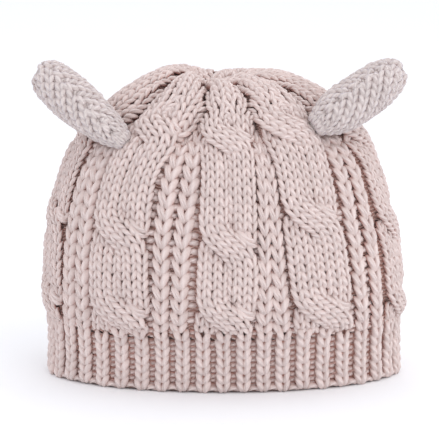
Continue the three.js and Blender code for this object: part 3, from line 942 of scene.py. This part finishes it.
def lay_cable(yarn, wall, sizes, stitches, number):
    """One cable: two strands of three wales, which cross three times on the way up."""
    count = 800
    levels = np.linspace(first_level(number / CABLE_COUNT), 1, count)
    relief, stitch = sizes.cable_relief / MM, stitches.stitch / MM
    phase = crossing_phase(number, levels, wall.length, sizes.crossing_length / MM)
    middle, step = turn_in_cable(number, 0, levels), 5e-4
    around = np.linalg.norm(wall(middle + step, levels) - wall(middle - step, levels), axis=-1) / (2 * step)
    swollen = smoothstep(levels, LOBE_START, LOBE_FULL)
    reach = {}
    for side in (-1, 1):
        apart = abs(turn_in_cable(number + side, 0, levels) - middle)
        reach[side] = mix(CABLE_SHARE / CABLE_COUNT, LOBE_SHARE * apart, swollen) / 2
    half = around * (reach[-1] + reach[1]) / 2
    lobe = lobe_depth(levels, middle)
    third = CABLES[number][3][2]
    laid = smoothstep(levels, third + SPREAD_START, third + SPREAD_END)
    pitch = mix(PITCH * half, np.maximum(2 * half / EVEN_WALES, stitch), laid)
    # As the crown narrows, the outer wales are knitted together first
    room = np.clip(2 * half / (1.02 * pitch), 0, 6)
    pairs = [np.clip((room - 4) / 2, 0, 1), np.clip((room - 2) / 2, 0, 1), np.clip(room - 1, 0, 1)]
    weights = [pairs[0], pairs[1], pairs[2], np.ones(count), pairs[1], pairs[0]]
    total = sum(weights)
    swell = mix(START_SWELL, 1, smoothstep(levels, 0, START_LEVEL))
    # Behind the strand that crosses over it, a strand changes sides out of sight
    hidden = np.floor(phase) + smoothstep(phase % 1, *HIDDEN_PART)
    for sign in (1, -1):
        side = sign * STRAND_OFFSET * np.cos(math.pi * phase)
        over = sign * np.sin(math.pi * phase)
        path = sign * STRAND_OFFSET * np.cos(math.pi * np.where(over < 0, hidden, phase))
        height = relief * swell * strand_height(over)
        for k in (-1, 0, 1):
            # The strand that starts on the right ends on the left, above its third crossing
            order = (1 if sign > 0 else 4) + k
            before = sum(weights[:order], np.zeros(count)) + weights[order] / 2
            centre = mix(path, (before / total * 2 - 1) * 0.98, laid)
            lane = k * pitch * (1 - laid)
            turn = middle + centre * np.where(centre < 0, reach[-1], reach[1])
            width = pitch * np.clip(weights[order], 0.3, 1)
            wale = Wale(wall, turn, levels, stitches.row / MM, width, np.zeros(count))

            def roundness(level, offset, height=height, centre=centre):
                share = np.interp(level, levels, 1 / (STRAND_HALF_WIDTH * half)) * offset
                own = np.sqrt(1 - np.clip(0.8 * share, -0.85, 0.85) ** 2)
                flat = np.interp(level, levels, laid)
                bare = relief - np.interp(level, levels, height) * mix(own, 1, flat)
                across = np.interp(level, levels, centre) + np.interp(level, levels, 1 / half) * offset
                return bare * flatten(level) + np.interp(level, levels, lobe) * lobe_fall(across)

            last = np.interp(levels[weights[order] > LEAST_WALE][-1], levels, wale.rows)
            every = np.arange(0, last - 0.9)
            for leg in (-1, 1):
                at = every + 0.35
                beneath = np.interp(at, wale.rows, -over)
                spot = np.interp(at, wale.rows, centre + (lane + 0.25 * leg * pitch) / half)
                apart = np.abs(spot + np.interp(at, wale.rows, side))
                shown = (beneath < 0.3) | (apart > NEAREST)
                sink = HIDDEN_SINK * smoothstep(beneath, 0.05, 0.6) * smoothstep(-apart, -0.8, -0.45)
                rows = every[shown]
                # Stitches that pass under the other strand are painted darker, as painted shade
                yarn.stitch(
                    wale, rows, stitches.radius / MM, leg,
                    shift=np.interp(rows, wale.rows, lane / width),
                    depth=0.08 * np.clip(beneath[shown], 0, 1), sink=sink[shown], roundness=roundness,
                )


def lay_hooks(yarn, wall, sizes, stitches, number):
    """The stretched stitches at the right of each crossing of a cable."""
    count = 80
    for crossing in CABLES[number][3]:
        levels = np.linspace(crossing - HOOK_REACH, crossing + HOOK_REACH, count)
        half = cable_half_share(levels) / CABLE_COUNT
        turn = turn_in_cable(number, 0, levels) + HOOK_PLACE * half
        right = np.linalg.norm(wall(turn + half, levels) - wall(turn, levels), axis=-1)
        inset = np.full(count, HOOK_DROP * sizes.cable_relief / MM)
        wale = Wale(wall, turn, levels, stitches.row / MM, HOOK_SHARE * right, inset)
        # Two lengths, half a row and half a millimetre apart
        pair = np.array([0, 0.5])
        rows = np.interp(crossing, levels, wale.rows) + pair
        yarn.stitch(wale, rows, stitches.radius / MM, 1, HOOK, sink=pair)


class HAT_OT_cables(bpy.types.Operator):
    """Knit the nine cables, three to a piece"""

    bl_idname = "hat.cables"
    bl_label = "Cables"

    def execute(self, context):
        sizes, stitches = context.scene.hat_sizes, context.scene.hat_yarn
        wall = crown_wall_of(sizes)
        groups = {"cables_front": (8, 0, 1), "cables_right": (2, 3, 4), "cables_left": (5, 6, 7)}
        for seed, (name, numbers) in enumerate(groups.items()):
            yarn = Yarn(wall, 10 + seed)
            for number in numbers:
                lay_cable(yarn, wall, sizes, stitches, number)
                lay_hooks(yarn, wall, sizes, stitches, number)
            finish(yarn.piece(name), hat_yarn(), "hat_knit")
        return {"FINISHED"}


# The paired thin strands of a rib, as shares of its stitch's width aside
STRAND_SHIFTS = (-0.07, 0.08)
# The rungs of the valleys: the width of their wale and how far they lie below the solid's ground,
# in millimetres, their row as a share of the ribs' row, and how much darker they are painted, as
# painted shade deep in the valleys
RUNG_WIDTH, RUNG_RISE, RUNG_ROW, RUNG_SHADE = 7.0, 0.7, 0.62, 0.12
# The same for the band's valleys, whose bumps are smaller, and the width of a cast-on stitch
BAND_RUNG_WIDTH, BAND_RUNG_DROP, BAND_RUNG_ROW, BAND_RUNG_SHADE = 5, 0.3, 0.64, 0.3
BAND_BUMP_SHARE, CAST_ON_WIDTH = 0.85, 9


class HAT_OT_ribs(bpy.types.Operator):
    """Knit the two ribs of each gap, fat legs on the right and paired thin strands on the left"""

    bl_idname = "hat.ribs"
    bl_label = "Ribs beside the Cables"

    def execute(self, context):
        sizes, stitches = context.scene.hat_sizes, context.scene.hat_yarn
        wall = crown_wall_of(sizes)
        yarn = Yarn(wall, 20)
        relief, rib = sizes.cable_relief / MM, sizes.rib_relief / MM
        for gap, ribs in enumerate(GAP_RIBS):
            for foot, head, end in ribs:
                levels = np.linspace(first_level((gap + 0.5) / CABLE_COUNT), end, 400)
                across = mix(foot, head, smoothstep(levels, 0.15, 0.5))
                turn = turn_in_gap(gap, across, levels)
                edges = [wall(turn_in_gap(gap, across + d, levels), levels) for d in (-0.25, 0.25)]
                width = np.minimum(np.linalg.norm(edges[1] - edges[0], axis=-1), stitches.rib_stitch / MM)
                fade = 1 - RIB_FADE * smoothstep(levels, CREASE_START, CREASE_END)
                inset = relief - rib * fade + crease_depth(across, levels, sizes.crease_depth / MM)
                inset = inset + 2 * smoothstep(levels, end - 0.08, end)
                wale = Wale(wall, turn, levels, stitches.rib_row / MM, width, inset)
                rows = np.arange(0, wale.rows[-1] - 0.8)
                # Painted shade: the ribs are painted darker up into the creases, and their thin strands a
                # little darker still
                deep = 0.05 + 0.2 * smoothstep(np.interp(rows, wale.rows, levels), CREASE_START, end)
                yarn.stitch(wale, rows, stitches.rib_radius / MM, 1, RIB_LEG, depth=deep)
                for shift in STRAND_SHIFTS:
                    yarn.stitch(wale, rows, stitches.thin_radius / MM, -1, RIB_LEG, shift, deep + 0.03)
        finish(yarn.piece("gap_ribs"), hat_yarn(), "hat_knit")
        return {"FINISHED"}


class HAT_OT_ladders(bpy.types.Operator):
    """Lay the purl bumps that cross the dark valleys between the ribs like the rungs of a ladder"""

    bl_idname = "hat.ladders"
    bl_label = "Ladder Bumps"

    def execute(self, context):
        sizes, stitches = context.scene.hat_sizes, context.scene.hat_yarn
        wall = crown_wall_of(sizes)
        yarn = Yarn(wall, 30)
        relief = sizes.cable_relief / MM
        for gap, ((first, _, first_end), (second, _, second_end)) in enumerate(GAP_RIBS):
            for across in (0.0, (first + second) / 2, (second + 1.06) / 2):
                levels = np.linspace(0, min(first_end, second_end) - 0.1, 400)
                turn = turn_in_gap(gap, across, levels)
                creased = crease_depth(np.clip(across, 0, 1), levels, sizes.crease_depth / MM)
                width, row = np.full(400, RUNG_WIDTH), stitches.rib_row / MM * RUNG_ROW
                wale = Wale(wall, turn, levels, row, width, relief - RUNG_RISE + creased)
                rows = np.arange(0.3, wale.rows[-1])
                rows = rows + yarn.random.normal(0, 0.1, len(rows))
                stray = yarn.random.normal(0, 0.1, len(rows))
                sink = yarn.random.uniform(0, 0.6, len(rows))
                # The rungs are painted darker, as painted shade deep in the valleys
                yarn.stitch(wale, rows, stitches.bump_radius / MM, 1, BUMP, stray, RUNG_SHADE, sink)
        finish(yarn.piece("ladder_bumps"), hat_yarn(), "hat_knit")
        return {"FINISHED"}


class HemToCrown:
    """The band and the foot of the crown as one surface: its level passes 1 where the crown starts."""

    def __init__(self, sizes):
        self.band, self.crown = band_wall_of(sizes), crown_wall_of(sizes)
        self.share = sizes.band_height / MM / self.crown.length

    def __call__(self, turn, level):
        above = smoothstep(level, 0.9, 1.1)[..., None]
        low = self.band(turn, np.clip(level, -0.05, 1))
        high = self.crown(turn, np.maximum(level - 1, 0) * self.share)
        return mix(low, high, above)


class HAT_OT_band_ribs(bpy.types.Operator):
    """Knit the 45 narrow ribs of the band, and the purl bumps in the valleys between them"""

    bl_idname = "hat.band_ribs"
    bl_label = "Band Ribs"

    def execute(self, context):
        sizes, stitches = context.scene.hat_sizes, context.scene.hat_yarn
        wall = HemToCrown(sizes)
        yarn = Yarn(wall, 40)
        numbers = range(CABLE_COUNT)
        ribs = [turn_in_cable(cable, across, 0) for cable in numbers for across in (-2 / 3, 0, 2 / 3)]
        ribs += [turn_in_gap(gap, across, 0) for gap in numbers for across in (0.25, 0.75)]
        ribs = np.sort(np.array(ribs, float) % 1)
        valleys = (ribs + np.roll(ribs, -1) + (np.arange(len(ribs)) == len(ribs) - 1)) / 2
        count = 80
        row, pitch = stitches.band_row / MM, stitches.band_stitch / MM
        for turn in ribs:
            levels = np.linspace(0.03, 1.06 + 0.14 * math.cos(TURN * turn) ** 2, count)
            wale = Wale(wall, np.full(count, turn), levels, row, np.full(count, pitch), np.zeros(count))
            rows = np.arange(0.25, wale.rows[-1] - 0.8) + yarn.random.uniform(-0.1, 0.1)
            for leg in (-1, 1):
                yarn.stitch(wale, rows, stitches.band_radius / MM, leg, BAND_LEG)
        for turn in valleys:
            levels = np.linspace(0.03, 1.13, count)
            turns, inset = np.full(count, turn), np.full(count, sizes.band_relief / MM + BAND_RUNG_DROP)
            width = np.full(count, BAND_RUNG_WIDTH)
            wale = Wale(wall, turns, levels, row * BAND_RUNG_ROW, width, inset)
            rows = np.arange(0.5, wale.rows[-1] - 0.5)
            radius = stitches.bump_radius / MM * BAND_BUMP_SHARE
            # The band's rungs are painted darker, as painted shade deep in the valleys
            yarn.stitch(wale, rows, radius, 1, BUMP, depth=BAND_RUNG_SHADE)
            edge = Wale(wall, turns, levels, row, np.full(count, CAST_ON_WIDTH), np.zeros(count))
            # The cast-on edge is painted a little darker, as painted shade low at the hem
            yarn.stitch(edge, np.array([0.05]), radius, 1, CAST_ON, depth=0.1, sink=1.0)
        finish(yarn.piece("band_ribs"), hat_yarn(), "band_knit")
        return {"FINISHED"}


# The wales of an ear: on its front the levels where they end on the line of decreases, and behind
# how far round from that line each lies, as a share of the full turn, and the level where it ends
EAR_WALES = (0.14, 0.28, 0.42, 0.56, 0.7, 0.84, 0.97)
EAR_BACK_WALES = (
    (0.5, 0.96), (0.425, 0.86), (0.35, 0.97), (0.275, 0.88), (0.2, 0.96), (0.125, 0.93),
)
# In millimetres: a row, the way round the widest section, and the padding under the stitches. A
# wale takes up EAR_PITCH of the way round.
EAR_ROW, EAR_ROUND, EAR_PITCH, PADDING_DROP = 4.0, TURN * 12.2, 0.075, 1.2


def make_ear(context, ear, seed):
    """A stuffed lobe, and over it the wales that end on its line of decreases in chevrons."""
    sizes, stitches, look = context.scene.hat_sizes, context.scene.hat_yarn, context.scene.hat_colours
    skin = Ear(ear, sizes)

    def shape(around, up):
        return inset_points(skin, around, np.clip(up, 0.004, 0.996), np.full(len(up), PADDING_DROP))[0]

    body = grid_piece(ear["name"] + "_padding", 32, 40, shape)
    # The padding's ground takes the ears' lit and side-shade colours, painted darker between its bumps as
    # painted shade
    material = purl_ground("purl side of " + ear["name"], look.ear_light, look.ear_painted_side_shade, EAR_FABRIC)
    finish(body, material, "ear_knit", ear["name"])
    yarn = Yarn(skin, seed)

    def decreases(levels):
        """Turn of the line of decreases at each level."""
        return 0.25 + ear["upward"] * mix(*ear["decreases"], levels) / 360

    def lay(turn, levels, stretch, widths, start, spare):
        pitch = EAR_PITCH * EAR_ROUND * np.interp(levels, skin.along, skin.size) * stretch
        width = np.clip(pitch, *widths)
        wale = Wale(skin, turn, levels, EAR_ROW, width, np.zeros(len(levels)), steer=1.0)
        rows = np.arange(start, wale.rows[-1] - spare)
        for leg in (-1, 1):
            yarn.stitch(wale, rows, stitches.radius / MM, leg, flip=True)

    every = np.linspace(0.02, 1, 300)
    widest = EAR_WALES[-1]
    for hand in (-1, 1):
        for end in EAR_WALES:
            here = every[every <= end * 0.985 + 0.02]
            turn = decreases(here) + hand * end * np.clip(1 - (here / end) ** 2, 0, 1) / 2
            lay(turn, here, 1 + (here / end) ** 2, (3.2, 6.4), 0.4, 0.3)
        # Behind, a wale starts where the wales of the front have turned away from it
        for apart, end in EAR_BACK_WALES[hand > 0:]:
            start = widest * math.sqrt(max(1 - 2 * apart / widest, 0)) + 0.02
            here = np.linspace(start, end, 300)
            lay(decreases(here) + hand * apart, here, 1, (3, 6), 0.1, 0.5)
    finish(yarn.piece(ear["name"] + "_stitches"), ear_yarn(), "ear_knit")


class HAT_OT_ears(bpy.types.Operator):
    """Make the two padded ears, each with its stuffed body and its own stitches"""

    bl_idname = "hat.ears"
    bl_label = "Ears"

    def execute(self, context):
        make_ear(context, LEFT_EAR, 50)
        make_ear(context, RIGHT_EAR, 60)
        return {"FINISHED"}


class HAT_OT_stage(bpy.types.Operator):
    """Set the paper floor, the soft studio lights and the camera at the photograph's angle"""

    bl_idname = "hat.stage"
    bl_label = "Stage"

    def execute(self, context):
        scene, stage = context.scene, context.scene.hat_stage
        start_clean()
        bpy.ops.mesh.primitive_plane_add(size=16)
        floor = context.object
        floor.name = "studio_floor"
        floor.data.materials.append(studio_paper(linear("#F6F7F9")))

        world = bpy.data.worlds.new("pale surroundings")
        world.use_nodes = True
        world.node_tree.nodes.clear()
        pale = {"Color": (*linear("#F9FAFE"), 1), "Strength": stage.fill}
        light = node(world.node_tree, "ShaderNodeBackground", pale)
        node(world.node_tree, "ShaderNodeOutputWorld", links={"Surface": light.outputs[0]})
        scene.world = world

        aim = Vector(stage.aim)
        for name, place, size, share in (
            ("key", (0.9, -1.3, 1.4), 1.0, 1.0),
            ("side", (1.7, -0.5, 0.8), 1.0, 0.65),
            ("top", (0.2, 0.3, 1.9), 1.4, 0.5),
        ):
            bpy.ops.object.light_add(type="AREA", location=place)
            lamp = context.object
            lamp.name = name + "_softbox"
            lamp.data.size = size
            lamp.data.energy = stage.key * share
            lamp.data.color = (1, 0.98, 0.96)
            lamp.rotation_euler = (aim - Vector(place)).to_track_quat("-Z", "Y").to_euler()

        back = stage.distance * math.cos(stage.elevation)
        up = stage.distance * math.sin(stage.elevation)
        bpy.ops.object.camera_add(location=aim + Vector((0, -back, up)))
        camera = context.object
        camera.rotation_euler = (aim - camera.location).to_track_quat("-Z", "Y").to_euler()
        camera.data.lens = stage.focal
        camera.data.sensor_width = 36
        camera.data.clip_end = 50
        scene.camera = camera
        scene.view_settings.view_transform = "Standard"
        return {"FINISHED"}


class HAT_PT_panel(bpy.types.Panel):
    """The hat's pieces, sizes and colours."""

    bl_label = "Knitted Baby Hat"
    bl_idname = "HAT_PT_panel"
    bl_space_type = "VIEW_3D"
    bl_region_type = "UI"
    bl_category = "Hat"

    def draw(self, context):
        for operator in OPERATORS:
            self.layout.operator(operator.bl_idname)
        for group_name, kind in GROUPS.items():
            box = self.layout.box()
            for name in kind.__annotations__:
                box.prop(getattr(context.scene, group_name), name)


OPERATORS = (
    HAT_OT_stage,
    HAT_OT_crown_wall,
    HAT_OT_band_wall,
    HAT_OT_cables,
    HAT_OT_ribs,
    HAT_OT_ladders,
    HAT_OT_band_ribs,
    HAT_OT_ears,
)
GROUPS = {"hat_sizes": HatSizes, "hat_yarn": YarnSizes, "hat_colours": HatColours, "hat_stage": StageSizes}


def register():
    for group in GROUPS.values():
        bpy.utils.register_class(group)
    for name, group in GROUPS.items():
        setattr(bpy.types.Scene, name, PointerProperty(type=group))
    for operator in (*OPERATORS, HAT_PT_panel):
        bpy.utils.register_class(operator)


def unregister():
    for operator in (HAT_PT_panel, *reversed(OPERATORS)):
        bpy.utils.unregister_class(operator)
    for name, group in reversed(GROUPS.items()):
        delattr(bpy.types.Scene, name)
        bpy.utils.unregister_class(group)


def main():
    register()
    bpy.ops.hat.stage()
    bpy.ops.hat.crown_wall()
    bpy.ops.hat.band_wall()
    bpy.ops.hat.cables()
    bpy.ops.hat.ribs()
    bpy.ops.hat.ladders()
    bpy.ops.hat.band_ribs()
    bpy.ops.hat.ears()


if __name__ == "__main__":
    main()
